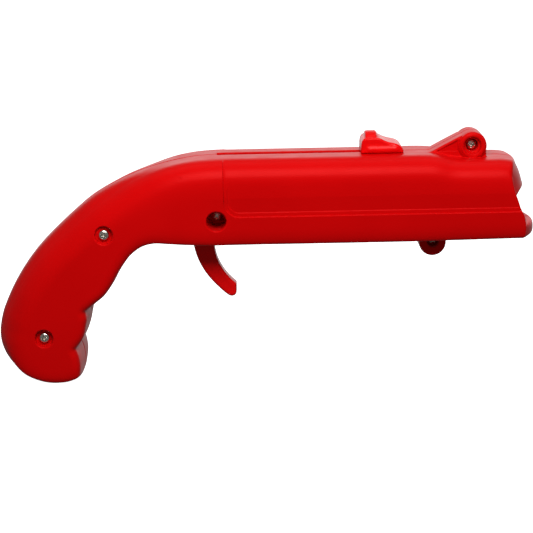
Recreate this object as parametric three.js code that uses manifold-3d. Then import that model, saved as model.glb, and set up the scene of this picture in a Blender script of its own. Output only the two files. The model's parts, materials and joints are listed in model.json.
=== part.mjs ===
// Pistol-shaped crown-cap opener and cap launcher, in millimetres. +X muzzle, +Z up, y = 0 is the seam.
import * as THREE from "three";
import { mergeVertices } from "three/addons/utils/BufferGeometryUtils.js";
import Module from "manifold-3d";

const wasm = await Module();
wasm.setup();

// ---- driving dimensions ----------------------------------------------------------------------
const HALF_LENGTH = 95.5;
const HALF_WIDTH = 18; // stock below the recessed barrel panel
const WALL = 2.2;
const SEAM_GAP = 0.05; // each shell stops this far short of the seam plane
const GROUND = 3.35; // height of the butt's lowest point above the drawing's datum
const BARREL_BOTTOM = 54.3;
const BARREL_TOP = 83.85;
const MUZZLE_TOP = 81.75;
const STEP_X = [59, 68]; // the top drops between these
// Rounding of the top edges: crown is the fall per square of y, power the superellipse's exponent.
const SHOULDER = { deep: 13.5, wide: 9.4, crown: 0.0006, power: 2.6 };
const GRIP_SHOULDER = { deep: 5, wide: 5.5, crown: 0.03, power: 2 };
const BUTT_CROWN = { z0: 6, z1: 24, share: 0.25 }; // the crown left at the butt's end
const STRAP = { deep: 8, wide: 1.8 }; // rounding of the bottom edges
const GRIP_STRAP = { deep: 3.5, wide: 4.5 };

const PANEL = { x: -13.5, z: 64.4, y: 17.3, corner: 5.5 };
const POCKET = { x: 62, y: 15.3, z0: 59.3, z1: 67.9 }; // the mouth that takes a crown cap
const JAW_PLATE = 2.2;
const HOLLOW = { x0: 64, x1: 84, z1: 79.4 }; // empty space above the jaw plate

const PIVOT = { x: -16.2, z: 63.1 };
const BOSS_R = 2.6;
const EAR_HALF = 6.5;
const EAR_POCKET = 1.2; // depth of the sunk triangle
const TOP_EAR = { x: 73.3, z: 86, r: 4.7 };
const LOW_EAR = { x: 59.8, z: 52, r: 5, half: 6 };

const SLOT = { x0: -15.8, x1: 46.6, y: 2 }; // the knob's slot in the top
const TRIGGER_SLOT = { x0: -27.6, x1: -15.6, y: 3.5 };
const TRIGGER_HALF = 3;

const SPRING_Z = 73.8;
const COIL_R = 3;
const WIRE_R = 0.45;
const SPRING_BACK = -33;
const CUP_BOTTOM = 39;
const CUP_R = 3.9;
const WASHER_T = 0.6;

const BLOCK = { x0: 31, x1: 59, y: 7, z0: 68.9, z1: 81 };
const FLANGE = { y: 13.6, z0: 75.2, z1: 76.8, x1: 57 };
const BLADE = { x1: 61.5, y: 11, z0: 60.2, z1: 79.6 };
const FOOT = { x0: 40.2, x1: 46, y: 3, z0: 76, z1: 81.4 };
const NECK = { x0: 34.8, x1: 46, y: 1.7 };
const KNOB_SCREW_X = 43.1;
const KNOB_HALF = 7;
const FIN_HALF = 5;
const KNOB_Z = 84; // underside, clear of the barrel's top

const RED = { color: 0xcf0c0c, roughness: 0.28, metalness: 0 };
const RED_INNER = { color: 0xb80a0a, roughness: 0.4, metalness: 0 };
const STEEL = { color: 0xb9bcc0, roughness: 0.3, metalness: 1 };
const RUBBER = { color: 0x1c1c1c, roughness: 0.85, metalness: 0 };

// Body stations from muzzle to butt: [back x, back z, strap x, strap z, half width].
const STATIONS = [
  [97, 80.75, 97, 54.7, HALF_WIDTH],
  [84, MUZZLE_TOP, 84, 54.6, HALF_WIDTH],
  [STEP_X[1], MUZZLE_TOP, STEP_X[1], 54.5, HALF_WIDTH],
  [STEP_X[0], BARREL_TOP, STEP_X[0], BARREL_BOTTOM, HALF_WIDTH],
  [-9, BARREL_TOP, -9, BARREL_BOTTOM, HALF_WIDTH],
  [-16.8, 83.75, -14, BARREL_BOTTOM, 17.9],
  [-25.2, 83.15, -19.5, 54.4, 17.8],
  [-35.3, 81.1, -26, 54.7, 17.5],
  [-45.7, 77.7, -32.6, 55.1, 17.1],
  [-53.5, 74, -37.9, 55.3, 16.8],
  [-60.4, 69.8, -42.3, 54, 16.4],
  [-66.1, 65.2, -46.2, 50.9, 16.1],
  [-71.4, 60.5, -48.8, 47.4, 15.8],
  [-76.2, 56, -51, 43.9, 15.6],
  [-80.7, 51.2, -53.2, 39.9, 15.4],
  [-84.8, 45.9, -55.9, 36.2, 15.2],
  [-87.6, 41.7, -59, 33.6, 15.1],
  [-90, 37.6, -62.8, 30.6, 15],
  [-92, 33.6, -62.4, 28, 14.9],
  [-93.8, 29.5, -62.9, 25.2, 14.9],
  [-94.9, 25.6, -63.5, 22.6, 14.8],
  [-HALF_LENGTH, 21.7, -64.6, 20, 14.8],
  [-95.2, 18, -66.8, 17, 14.8],
  [-94.1, 14.6, -66, 14.6, 14.8],
  [-92.6, 11.5, -65.6, 12.2, 14.8],
  [-90.5, 8.8, -65.5, 10, 14.8],
  [-87.5, 6.1, -65.7, 8, 14.8],
  [-83.4, 4.5, -66.1, 6.4, 14.6],
  [-79.4, 3.65, -67, 5.2, 14],
  [-75.9, GROUND, -68.3, 4.3, 13],
  [-73.2, GROUND + 0.05, -69.8, 3.7, 11.5],
];
const GRIP_FROM = 7; // station where the roundings start to change to the grip's
const GRIP_FULL = 12;
const INNER_LAST = 27; // the butt beyond this station is solid

// Muzzle face: [z, x at the side wall's edge, bulge at the seam].
const MUZZLE = [
  [40, 90.6, 4.9],
  [BARREL_BOTTOM, 90.6, 4.9],
  [56.7, 90.9, 4.6],
  [58.5, 90.9, 3.8],
  [POCKET.z0, 90.85, 2.4],
  [62.6, 90.3, 1.6],
  [65.6, 89, 1.6],
  [POCKET.z1, 88.2, 1.6],
  [69.2, 87.7, 3.8],
  [70.5, 87.2, 4.6],
  [72.5, 86.6, 4.8],
  [76.3, 85.9, 4.35],
  [79.5, 85.5, 3.3],
  [81.2, 85.5, 2.5],
  [MUZZLE_TOP, 85.6, 1.3],
  [100, 85.6, 1.3],
];

// ---- solids ----------------------------------------------------------------------------------
function solid(geometry) {
  const bare = geometry.clone();
  bare.deleteAttribute("normal");
  bare.deleteAttribute("uv");
  const merged = mergeVertices(bare, 1e-4);
  const mesh = new wasm.Mesh({
    numProp: 3,
    vertProperties: new Float32Array(merged.attributes.position.array),
    triVerts: new Uint32Array(merged.index.array),
  });
  return new wasm.Manifold(mesh);
}

function geometryOf(body) {
  const out = body.getMesh();
  const geometry = new THREE.BufferGeometry();
  geometry.setAttribute("position", new THREE.BufferAttribute(out.vertProperties, 3));
  geometry.setIndex(new THREE.BufferAttribute(out.triVerts, 1));
  geometry.computeVertexNormals();
  return geometry;
}

function box([x0, x1], [y0, y1], [z0, z1]) {
  const geometry = new THREE.BoxGeometry(x1 - x0, y1 - y0, z1 - z0);
  geometry.translate((x0 + x1) / 2, (y0 + y1) / 2, (z0 + z1) / 2);
  return solid(geometry);
}

// A cylinder or cone along Y from y0 to y1.
function barY(x, z, r, y0, y1, segments = 24, rEnd = r) {
  const geometry = new THREE.CylinderGeometry(rEnd, r, Math.abs(y1 - y0), segments);
  if (y1 < y0) geometry.rotateX(Math.PI);
  geometry.translate(x, (y0 + y1) / 2, z);
  return solid(geometry);
}

function barX(y, z, r, x0, x1, segments = 24) {
  const geometry = new THREE.CylinderGeometry(r, r, x1 - x0, segments);
  geometry.rotateZ(-Math.PI / 2);
  geometry.translate((x0 + x1) / 2, y, z);
  return solid(geometry);
}

function barZ(x, y, r, z0, z1, segments = 20) {
  const geometry = new THREE.CylinderGeometry(r, r, z1 - z0, segments);
  geometry.rotateX(Math.PI / 2);
  geometry.translate(x, y, (z0 + z1) / 2);
  return solid(geometry);
}

// An outline in the XZ plane carried from y0 to y1, with its long edges broken by a bevel.
function prism(shape, y0, y1, bevel = 0, curveSegments = 12) {
  const geometry = new THREE.ExtrudeGeometry(shape, {
    depth: y1 - y0 - 2 * bevel,
    curveSegments,
    bevelEnabled: bevel > 0,
    bevelThickness: bevel,
    bevelSize: bevel,
    bevelOffset: -bevel,
    bevelSegments: 2,
  });
  geometry.rotateX(Math.PI / 2);
  geometry.translate(0, y1 - bevel, 0);
  return solid(geometry);
}

function polygon(points) {
  return new THREE.Shape(points.map(([x, z]) => new THREE.Vector2(x, z)));
}

// Rings of equal length joined into one closed skin with fan caps.
function skin(rings) {
  const n = rings[0].length;
  const positions = rings.flat(2);
  const index = [];
  for (let i = 0; i < rings.length - 1; i++) {
    for (let j = 0; j < n; j++) {
      const a = i * n + j;
      const b = i * n + ((j + 1) % n);
      index.push(a, b, b + n, a, b + n, a + n);
    }
  }
  for (const [ring, flip] of [
    [0, false],
    [rings.length - 1, true],
  ]) {
    const centre = [0, 1, 2].map((k) => rings[ring].reduce((s, p) => s + p[k], 0) / n);
    const c = positions.length / 3;
    positions.push(...centre);
    for (let j = 0; j < n; j++) {
      const a = ring * n + j;
      const b = ring * n + ((j + 1) % n);
      index.push(...(flip ? [a, b, c] : [b, a, c]));
    }
  }
  const geometry = new THREE.BufferGeometry();
  geometry.setAttribute("position", new THREE.BufferAttribute(new Float32Array(positions), 3));
  geometry.setIndex(index);
  let body = solid(geometry);
  if (body.volume() < 0) {
    for (let k = 0; k < index.length; k += 3) [index[k], index[k + 1]] = [index[k + 1], index[k]];
    geometry.setIndex(index);
    body = solid(geometry);
  }
  return body;
}

// ---- body ------------------------------------------------------------------------------------
const CORNER_STEPS = 5;

// One closed section: u runs from the strap to the back, v across the width.
function section(station, at, inset) {
  const [bx, bz, sx, sz, half] = station;
  const full = Math.hypot(bx - sx, bz - sz);
  const [ux, uz] = [(bx - sx) / full, (bz - sz) / full];
  const blend = THREE.MathUtils.smoothstep(at, GRIP_FROM, GRIP_FULL);
  const mix = (a, b) => a + (b - a) * blend;
  const strap = { deep: mix(STRAP.deep, GRIP_STRAP.deep), wide: mix(STRAP.wide, GRIP_STRAP.wide) };
  const back = { deep: mix(SHOULDER.deep, GRIP_SHOULDER.deep), wide: mix(SHOULDER.wide, GRIP_SHOULDER.wide) };
  const power = mix(SHOULDER.power, GRIP_SHOULDER.power);
  const low = 1 - THREE.MathUtils.smoothstep(bz, BUTT_CROWN.z0, BUTT_CROWN.z1);
  const crown = mix(SHOULDER.crown, GRIP_SHOULDER.crown) * (1 + (BUTT_CROWN.share - 1) * low);
  const length = full - 2 * inset;
  const width = half - inset;
  const fall = (v) => crown * v * v * shrink;
  const shrink = Math.min(1, length / (back.deep + crown * width * width + strap.deep + 1));
  const less = (r) => Math.max(r - inset, 0.8);
  const corners = [
    [less(strap.deep) * shrink, less(strap.wide), 0],
    [less(back.deep) * shrink, less(back.wide), length],
  ];
  const side = [];
  for (let k = 0; k <= CORNER_STEPS; k++) {
    const t = (k / CORNER_STEPS) * (Math.PI / 2);
    const [deep, wide] = corners[0];
    side.push([deep * (1 - Math.cos(t)), width - wide * (1 - Math.sin(t))]);
  }
  for (let k = 0; k <= CORNER_STEPS; k++) {
    const t = (k / CORNER_STEPS) * (Math.PI / 2);
    const [deep, wide] = corners[1];
    const v = width - wide * (1 - Math.cos(t) ** (2 / power));
    side.push([length - deep * (1 - Math.sin(t) ** (2 / power)) - fall(v), v]);
  }
  side.push([length - fall((width - back.wide) / 2), (width - less(back.wide)) / 2]);
  const ring = [...side, [length, 0], ...side.map(([u, v]) => [u, -v]).reverse()];
  return ring.map(([u, v]) => [sx + ux * (u + inset), v, sz + uz * (u + inset)]);
}

function bodyLoft(inset, first, last) {
  return skin(STATIONS.slice(first, last + 1).map((s, i) => section(s, first + i, inset)));
}

// Everything in front of the muzzle face.
function beyondMuzzle() {
  const across = 14;
  const rings = MUZZLE.map(([z, edge, bulge]) => {
    const ring = [];
    for (let k = 0; k <= across; k++) {
      const y = POCKET.y * ((2 * k) / across - 1);
      ring.push([edge + bulge * (1 - (y / POCKET.y) ** 2), y, z]);
    }
    ring.push([edge, 25, z], [130, 25, z], [130, -25, z], [edge, -25, z]);
    return ring;
  });
  return skin(rings);
}

function panelRecess() {
  const { x, z, y, corner } = PANEL;
  const shape = new THREE.Shape();
  shape.moveTo(x, 90);
  shape.lineTo(x, z + corner);
  shape.absarc(x + corner, z + corner, corner, Math.PI, 1.5 * Math.PI, false);
  shape.lineTo(110, z);
  shape.lineTo(110, 90);
  return prism(shape, y, 25, 0, 6).add(prism(shape, -25, -y, 0, 6));
}

function topEar() {
  const { x, z, r } = TOP_EAR;
  const shape = new THREE.Shape();
  shape.moveTo(57.6, 83.2);
  shape.lineTo(63.5, 86.35);
  shape.lineTo(67.5, 88.4);
  shape.quadraticCurveTo(68.8, 89, x - r * Math.cos(0.7), z + r * Math.sin(0.7));
  shape.absarc(x, z, r, Math.PI - 0.7, 0, true);
  shape.lineTo(x + r + 0.3, 80.5);
  shape.lineTo(58.5, 80.5);
  return prism(shape, -EAR_HALF, EAR_HALF, 0.6, 9);
}

// The sunk triangle on each side of the ear's ramp.
function earPockets() {
  const shape = polygon([
    [60.9, 84],
    [68.1, 87.7],
    [68.1, 84],
  ]);
  const floor = EAR_HALF - EAR_POCKET;
  return prism(shape, floor, 12).add(prism(shape, -12, -floor));
}

function lowEar() {
  const { x, z, r, half } = LOW_EAR;
  const shape = new THREE.Shape();
  shape.moveTo(x - r, 55.5);
  shape.lineTo(x - r, z);
  shape.absarc(x, z, r, Math.PI, 2 * Math.PI, false);
  shape.lineTo(x + r, 55.5);
  return prism(shape, -half, half, 0.5, 10);
}

// Case screws: centre, head seat, depth of the threaded end, recess radius and mouth.
const CASE_SCREWS = {
  grip_low: { x: -78.2, z: 21.5, seat: 12.4, end: 6, recess: 3.15, mouth: 19 },
  grip_high: { x: -55.4, z: 58.6, seat: 13.9, end: 6, recess: 3.15, mouth: 19 },
  trigger: { x: PIVOT.x, z: PIVOT.z, seat: 6.5, end: 9, recess: 3.4, mouth: 19 },
  top_ear: { x: TOP_EAR.x, z: TOP_EAR.z, seat: 2.2, end: 5, recess: 2.9, mouth: 9 },
  bottom_ear: { x: LOW_EAR.x, z: LOW_EAR.z, seat: 2.2, end: 5, recess: 2.1, mouth: 19 },
};
const SHANK_R = 1.1;
const HEAD_R = 1.8;
const HEAD_T = 1.4;
const CLEAR_R = 1.35;
const PILOT_R = 1.15;

function bosses(side) {
  const parts = [];
  for (const [name, s] of Object.entries(CASE_SCREWS)) {
    if (name.endsWith("ear")) continue;
    const column = name === "trigger" ? BOSS_R : 3;
    parts.push(barY(s.x, s.z, column, 0, side * 17));
    parts.push(barY(s.x, s.z, 4.7, side * (s.seat - 1.6), side * 17.4));
  }
  parts.push(barY(PIVOT.x, PIVOT.z, 4.7, side * (TRIGGER_HALF + 0.4), side * 16));
  return parts;
}

// Rails for the striker, its front stop and the spring's rear seat.
function guides(side) {
  const across = (a, b) => (side < 0 ? [-b, -a] : [a, b]);
  return [
    box([-22, 60.6], across(11.7, 16.5), [73.3, 74.9]),
    box([-22, 60.6], across(11.7, 16.5), [77.1, 78.7]),
    box([60.6, 63], across(11.7, 16.5), [73.3, 78.7]),
    box([-37, -34.3], across(0, 16.5), [66.5, 82]),
  ];
}

function shell(side) {
  const outside = bodyLoft(0, 0, STATIONS.length - 1);
  const skinned = outside.subtract(panelRecess()).add(topEar()).add(lowEar());
  const main = bodyLoft(WALL, 0, INNER_LAST).intersect(box([-100, POCKET.x], [-20, 20], [0, 90]));
  const mouth = box([POCKET.x - 1, 110], [-POCKET.y, POCKET.y], [POCKET.z0, POCKET.z1]);
  const above = box([HOLLOW.x0, HOLLOW.x1], [-14.6, 14.6], [POCKET.z1 + JAW_PLATE, HOLLOW.z1]);
  let body = skinned.subtract(main).subtract(mouth).subtract(above.intersect(bodyLoft(WALL, 0, 3)));
  for (const part of [...bosses(side), ...guides(side)]) body = body.add(part.intersect(outside));
  for (const s of Object.values(CASE_SCREWS)) {
    body = body.subtract(barY(s.x, s.z, PILOT_R, -1, s.end + 1, 16));
    body = body.subtract(barY(s.x, s.z, CLEAR_R, -s.seat - 1, 0, 16));
    body = body.subtract(barY(s.x, s.z, s.recess, -s.mouth, -s.seat, 28));
  }
  body = body.subtract(box([SLOT.x0, SLOT.x1], [-SLOT.y, SLOT.y], [78, 90]));
  const { x0: slotBack, x1: slotFront, y: slotHalf } = TRIGGER_SLOT;
  body = body.subtract(box([slotBack, slotFront], [-slotHalf, slotHalf], [50, 57.5]));
  body = body.subtract(earPockets()).subtract(beyondMuzzle()).subtract(plateSeat());
  const [y0, y1] = side < 0 ? [-30, -SEAM_GAP] : [SEAM_GAP, 30];
  return body.intersect(box([-120, 120], [y0, y1], [-10, 120]));
}

// ---- opener plate ----------------------------------------------------------------------------
const PLATE = { x0: 68, x1: 88, y: 11.5, t: 1.2, screwX: 78, screwY: 7.5 };

function plateSeat() {
  const floor = POCKET.z0 - PLATE.t;
  let seat = box([PLATE.x0, PLATE.x1], [-PLATE.y, PLATE.y], [floor, POCKET.z0 + 0.1]);
  for (const y of [-PLATE.screwY, PLATE.screwY]) {
    seat = seat.add(barZ(PLATE.screwX, y, 0.95, 54.9, floor + 0.1, 14));
  }
  return seat;
}

function openerPlate() {
  const gap = 0.1;
  const z = [POCKET.z0 - PLATE.t + 0.05, POCKET.z0 - 0.05];
  let plate = box([PLATE.x0 + gap, PLATE.x1 - gap], [-PLATE.y + gap, PLATE.y - gap], z);
  for (const y of [-PLATE.screwY, PLATE.screwY]) {
    plate = plate.subtract(barZ(PLATE.screwX, y, 1.05, 50, 65, 14));
    plate = plate.subtract(barZ(PLATE.screwX, y, 1.9, z[0] + 0.35, 65, 18));
  }
  return plate;
}

// ---- screws ----------------------------------------------------------------------------------
// A cross-recess screw standing on the origin with its head up the Z axis.
function crossScrew(headR, headT, shankR, length) {
  const profile = [
    [0, -length],
    [shankR * 0.35, -length + 0.1],
    [shankR, -length + 1.4],
    [shankR, 0.02],
    [headR, 0.02],
    [headR, headT * 0.45],
    [headR * 0.86, headT * 0.8],
    [headR * 0.55, headT],
    [0, headT],
  ];
  const points = profile.map(([r, z]) => new THREE.Vector2(r, z));
  const geometry = new THREE.LatheGeometry(points, 20);
  geometry.rotateX(Math.PI / 2);
  const arm = headR * 0.62;
  const thin = headR * 0.15;
  const cross = box([-arm, arm], [-thin, thin], [headT * 0.4, headT + 1]).add(
    box([-thin, thin], [-arm, arm], [headT * 0.4, headT + 1]),
  );
  return solid(geometry).subtract(cross);
}

function caseScrew(name) {
  const s = CASE_SCREWS[name];
  const screw = crossScrew(HEAD_R, HEAD_T, SHANK_R, s.seat + s.end);
  return screw.rotate([90, 0, 0]).translate([s.x, -s.seat - 0.03, s.z]);
}

// ---- sliding parts ---------------------------------------------------------------------------
function knob() {
  const { x0, x1, y } = NECK;
  const side = new THREE.Shape();
  side.moveTo(34.5, KNOB_Z);
  side.lineTo(34.8, 87.1);
  side.quadraticCurveTo(35, 89.4, 36.8, 89.4);
  side.lineTo(40, 89.4);
  side.bezierCurveTo(42.3, 89.1, 43.4, 87.7, 45, 87.2);
  side.bezierCurveTo(47, 86.9, 49.1, 86.3, 49.4, KNOB_Z);
  const fin = polygon([
    [35.9, 88.8],
    [36.2, 90.6],
    [36.7, 91.1],
    [39.6, 91.1],
    [40.1, 90.8],
    [41.6, 88.8],
  ]);
  return prism(side, -KNOB_HALF, KNOB_HALF, 0.5, 5)
    .add(prism(fin, -FIN_HALF, FIN_HALF, 0.5, 4))
    .add(box([x0, x1], [-y, y], [FOOT.z1 - 0.2, KNOB_Z + 0.5]))
    .add(box([FOOT.x0, FOOT.x1], [-FOOT.y, FOOT.y], [FOOT.z0, FOOT.z1]))
    .subtract(barZ(KNOB_SCREW_X, 0, 1, 70, FOOT.z1 - 0.6, 14));
}

function striker() {
  const { x0, x1, y, z0, z1 } = BLOCK;
  let body = box([x0, x1], [-y, y], [z0, z1])
    .add(box([x0, FLANGE.x1], [-FLANGE.y, FLANGE.y], [FLANGE.z0, FLANGE.z1]))
    .add(box([x1 - 0.5, BLADE.x1], [-BLADE.y, BLADE.y], [BLADE.z0, BLADE.z1]));
  const gusset = polygon([
    [50, z0 + 1],
    [BLADE.x1 - 1, z0 + 1],
    [BLADE.x1 - 1, BLADE.z0 + 1.5],
    [58, BLADE.z0 + 1.5],
  ]);
  for (const at of [-6.2, 4.6]) body = body.add(prism(gusset, at, at + 1.6));
  body = body.subtract(barX(0, SPRING_Z, CUP_R, x0 - 1, CUP_BOTTOM));
  const play = 0.3;
  const footY = FOOT.y + play;
  body = body.subtract(box([FOOT.x0 - play, FOOT.x1 + play], [-footY, footY], [FOOT.z0 - play, z1 + 1]));
  body = body.subtract(box([30, x1 + 0.1], [-2.2, 2.2], [FOOT.z1 - 0.5, z1 + 1]));
  body = body.subtract(barZ(KNOB_SCREW_X, 0, 2.1, z0 - 1, z0 + 2.6, 18));
  body = body.subtract(barZ(KNOB_SCREW_X, 0, 1.2, z0, FOOT.z0 + 0.1, 14));
  return body.subtract(box([47.2, 52.4], [-TRIGGER_HALF - 0.6, TRIGGER_HALF + 0.6], [z0 - 1, z0 + 2]));
}

// A helix of round wire along Z from 0 to the given length, with closed end turns.
class Coil extends THREE.Curve {
  constructor(radius, wire, turns, length) {
    super();
    Object.assign(this, { radius, wire, turns, length });
  }
  getPoint(t, target = new THREE.Vector3()) {
    const angle = 2 * Math.PI * this.turns * t;
    const dead = 1 / this.turns;
    const rise = this.length - 2 * this.wire - 4 * this.wire * 1.05;
    const mid = THREE.MathUtils.clamp((t - dead) / (1 - 2 * dead), 0, 1);
    const ends = Math.min(t / dead, 1) + Math.max((t - 1 + dead) / dead, 0);
    const z = this.wire + 2 * this.wire * 1.05 * ends + rise * mid;
    return target.set(this.radius * Math.cos(angle), this.radius * Math.sin(angle), z);
  }
}

function coil(radius, wire, turns, length, stepsPerTurn) {
  const ring = new THREE.Shape();
  ring.absarc(0, 0, wire, 0, 2 * Math.PI, false);
  const geometry = new THREE.ExtrudeGeometry(ring, {
    steps: turns * stepsPerTurn,
    curveSegments: 6,
    extrudePath: new Coil(radius, wire, turns, length),
  });
  return solid(geometry);
}

function mainspring() {
  const length = CUP_BOTTOM - WASHER_T - 0.15 - (SPRING_BACK + 0.1);
  return coil(COIL_R, WIRE_R, 16, length, 12).rotate([0, 90, 0]).translate([SPRING_BACK + 0.1, 0, SPRING_Z]);
}

function springGuide() {
  const flange = barX(0, SPRING_Z, CUP_R, SPRING_BACK - 1.2, SPRING_BACK);
  const rod = barX(0, SPRING_Z, 1.9, SPRING_BACK - 0.5, -13.5);
  return flange.add(rod).add(barX(0, SPRING_Z, 1.3, -13.6, -12.5));
}

function springWasher() {
  const x1 = CUP_BOTTOM - 0.05;
  const disc = barX(0, SPRING_Z, CUP_R - 0.2, x1 - WASHER_T, x1);
  return disc.subtract(barX(0, SPRING_Z, 2.2, 30, 50));
}

// ---- trigger ---------------------------------------------------------------------------------
const BUSH_R = 3.4;
const EYE_R = 5.1;

function trigger() {
  const blade = new THREE.Shape();
  blade.moveTo(-20.6, 60.5);
  blade.lineTo(-24.6, 56);
  blade.lineTo(-25, 52);
  blade.bezierCurveTo(-23.9, 44, -19.3, 38.5, -14.9, 34.5);
  blade.bezierCurveTo(-13.2, 33, -12.4, 32.6, -11.9, 32.5);
  blade.quadraticCurveTo(-10, 32.5, -10, 34.4);
  blade.lineTo(-10, 37.1);
  blade.quadraticCurveTo(-12.8, 39.6, -14.4, 42);
  blade.bezierCurveTo(-16.3, 45, -17.5, 48, -17.6, 52);
  blade.lineTo(-17.4, 56);
  blade.lineTo(-13.4, 59.5);
  const sear = polygon([
    [-14.5, 66.6],
    [-3, 66.6],
    [-1.4, 68.5],
    [1.4, 68.5],
    [1.4, 65.4],
    [-2.4, 63],
    [-4, 61.2],
    [-9, 61.2],
    [-13.5, 59.5],
  ]);
  return prism(blade, -TRIGGER_HALF, TRIGGER_HALF, 0.8, 8)
    .add(barY(PIVOT.x, PIVOT.z, EYE_R, -TRIGGER_HALF, TRIGGER_HALF, 28))
    .add(prism(sear, -2.6, 2.6, 0.3))
    .subtract(barY(PIVOT.x, PIVOT.z, BUSH_R + 0.06, -10, 10, 28));
}

function triggerBush() {
  const half = TRIGGER_HALF + 0.3;
  const sleeve = barY(PIVOT.x, PIVOT.z, BUSH_R, -half, half, 28);
  return sleeve.subtract(barY(PIVOT.x, PIVOT.z, BOSS_R + 0.08, -10, 10, 24));
}

const RETURN_SPRING = { x: -6.5, z0: 56.6, z1: 61.1 };

function triggerSpring() {
  const { x, z0, z1 } = RETURN_SPRING;
  return coil(1.7, 0.3, 4, z1 - z0, 10).translate([x, 0, z0]);
}

function bumper(side) {
  const y = side < 0 ? [-14.9, -11.9] : [11.9, 14.9];
  return box([57.4, 60.4], y, [75.05, 76.95]);
}

// ---- assembly --------------------------------------------------------------------------------
const group = new THREE.Group();
group.name = "cap_launcher_opener";

function put(name, body, look) {
  const standing = body.translate([0, 0, -GROUND]);
  const mesh = new THREE.Mesh(geometryOf(standing), new THREE.MeshStandardMaterial(look));
  mesh.name = name;
  group.add(mesh);
}

put("right_shell", shell(-1), RED);
put("left_shell", shell(1), RED);
for (const name of Object.keys(CASE_SCREWS)) put("screw_" + name, caseScrew(name), STEEL);
put("cocking_knob", knob(), RED);
const knobScrew = crossScrew(1.7, 1.1, 0.95, 8.6).rotate([180, 0, 0]);
put("knob_screw", knobScrew.translate([KNOB_SCREW_X, 0, BLOCK.z0 + 2.55]), STEEL);
put("striker", striker(), RED_INNER);
put("mainspring", mainspring(), STEEL);
put("spring_guide", springGuide(), STEEL);
put("spring_washer", springWasher(), STEEL);
put("trigger", trigger(), RED);
put("trigger_bush", triggerBush(), STEEL);
put("trigger_spring", triggerSpring(), STEEL);
put("opener_plate", openerPlate(), STEEL);
for (const [name, y] of [
  ["right", -PLATE.screwY],
  ["left", PLATE.screwY],
]) {
  const screw = crossScrew(1.7, 0.7, 0.85, 3.2);
  put("plate_screw_" + name, screw.translate([PLATE.screwX, y, POCKET.z0 - PLATE.t + 0.45]), STEEL);
}
put("bumper_right", bumper(-1), RUBBER);
put("bumper_left", bumper(1), RUBBER);

export default group;
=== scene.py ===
"""Looks of the pistol-shaped crown-cap opener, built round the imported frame.

Shapes are signed-distance fields in millimetres, negative inside. x runs to the muzzle, z up, and a is
the distance from the seam.
"""

import json
import math

import bpy
import numpy as np
from mathutils import Matrix, Vector


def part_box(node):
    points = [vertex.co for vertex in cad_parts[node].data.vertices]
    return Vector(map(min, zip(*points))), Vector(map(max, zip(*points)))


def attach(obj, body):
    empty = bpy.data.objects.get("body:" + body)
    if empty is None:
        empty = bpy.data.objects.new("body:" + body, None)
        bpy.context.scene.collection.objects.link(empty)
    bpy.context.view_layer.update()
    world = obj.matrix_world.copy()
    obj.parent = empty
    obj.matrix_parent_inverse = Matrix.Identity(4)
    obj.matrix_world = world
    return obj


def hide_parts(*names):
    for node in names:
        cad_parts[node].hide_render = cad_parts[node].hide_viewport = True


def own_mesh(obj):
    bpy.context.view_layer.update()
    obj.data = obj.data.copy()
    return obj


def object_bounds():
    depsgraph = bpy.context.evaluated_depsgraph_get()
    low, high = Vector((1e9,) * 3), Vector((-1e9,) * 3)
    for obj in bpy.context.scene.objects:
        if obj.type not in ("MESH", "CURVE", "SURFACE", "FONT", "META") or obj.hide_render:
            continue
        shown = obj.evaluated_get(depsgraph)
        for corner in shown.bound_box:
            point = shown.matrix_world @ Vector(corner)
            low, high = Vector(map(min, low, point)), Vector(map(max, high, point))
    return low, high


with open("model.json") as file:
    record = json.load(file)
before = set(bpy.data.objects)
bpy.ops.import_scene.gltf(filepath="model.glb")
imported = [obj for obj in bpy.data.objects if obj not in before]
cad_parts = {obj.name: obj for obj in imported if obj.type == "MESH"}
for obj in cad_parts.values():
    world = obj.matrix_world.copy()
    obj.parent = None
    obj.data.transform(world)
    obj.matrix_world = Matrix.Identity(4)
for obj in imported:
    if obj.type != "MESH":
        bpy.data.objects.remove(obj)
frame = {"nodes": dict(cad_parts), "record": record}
cad_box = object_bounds()

MM = 0.001
DATUM_Z = 3.35  # the frame's ground in the drawing's height
F32 = np.float32


# ---- distance fields -------------------------------------------------------------------------
def smin(a, b, k):
    """The lower of two fields, blended over a width k."""
    h = np.maximum(k - np.abs(a - b), 0) / k
    return np.minimum(a, b) - h * h * (k / 4)


def smax(a, b, k):
    return -smin(-a, -b, k)


def smoothstep(t):
    t = np.clip(t, 0, 1)
    return t * t * (3 - 2 * t)


def slab(v, low, high):
    return np.maximum(low - v, v - high)


def box3(x, y, z, xs, ys, zs):
    return np.maximum(np.maximum(slab(x, *xs), slab(y, *ys)), slab(z, *zs))


def table1(v, rows, column):
    """A smooth curve through the rows' values at v, which runs up the first column."""
    t = np.array([r[0] for r in rows], float)
    f = np.array([r[column] for r in rows], float)
    slope = np.gradient(f, t)
    v = np.clip(v, t[0], t[-1])
    i = np.clip(np.searchsorted(t, v, side="right") - 1, 0, len(t) - 2)
    w = t[i + 1] - t[i]
    u = (v - t[i]) / w
    u2, u3 = u * u, u * u * u
    return (
        (2 * u3 - 3 * u2 + 1) * f[i] + (u3 - 2 * u2 + u) * w * slope[i]
        + (3 * u2 - 2 * u3) * f[i + 1] + (u3 - u2) * w * slope[i + 1]
    )


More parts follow.
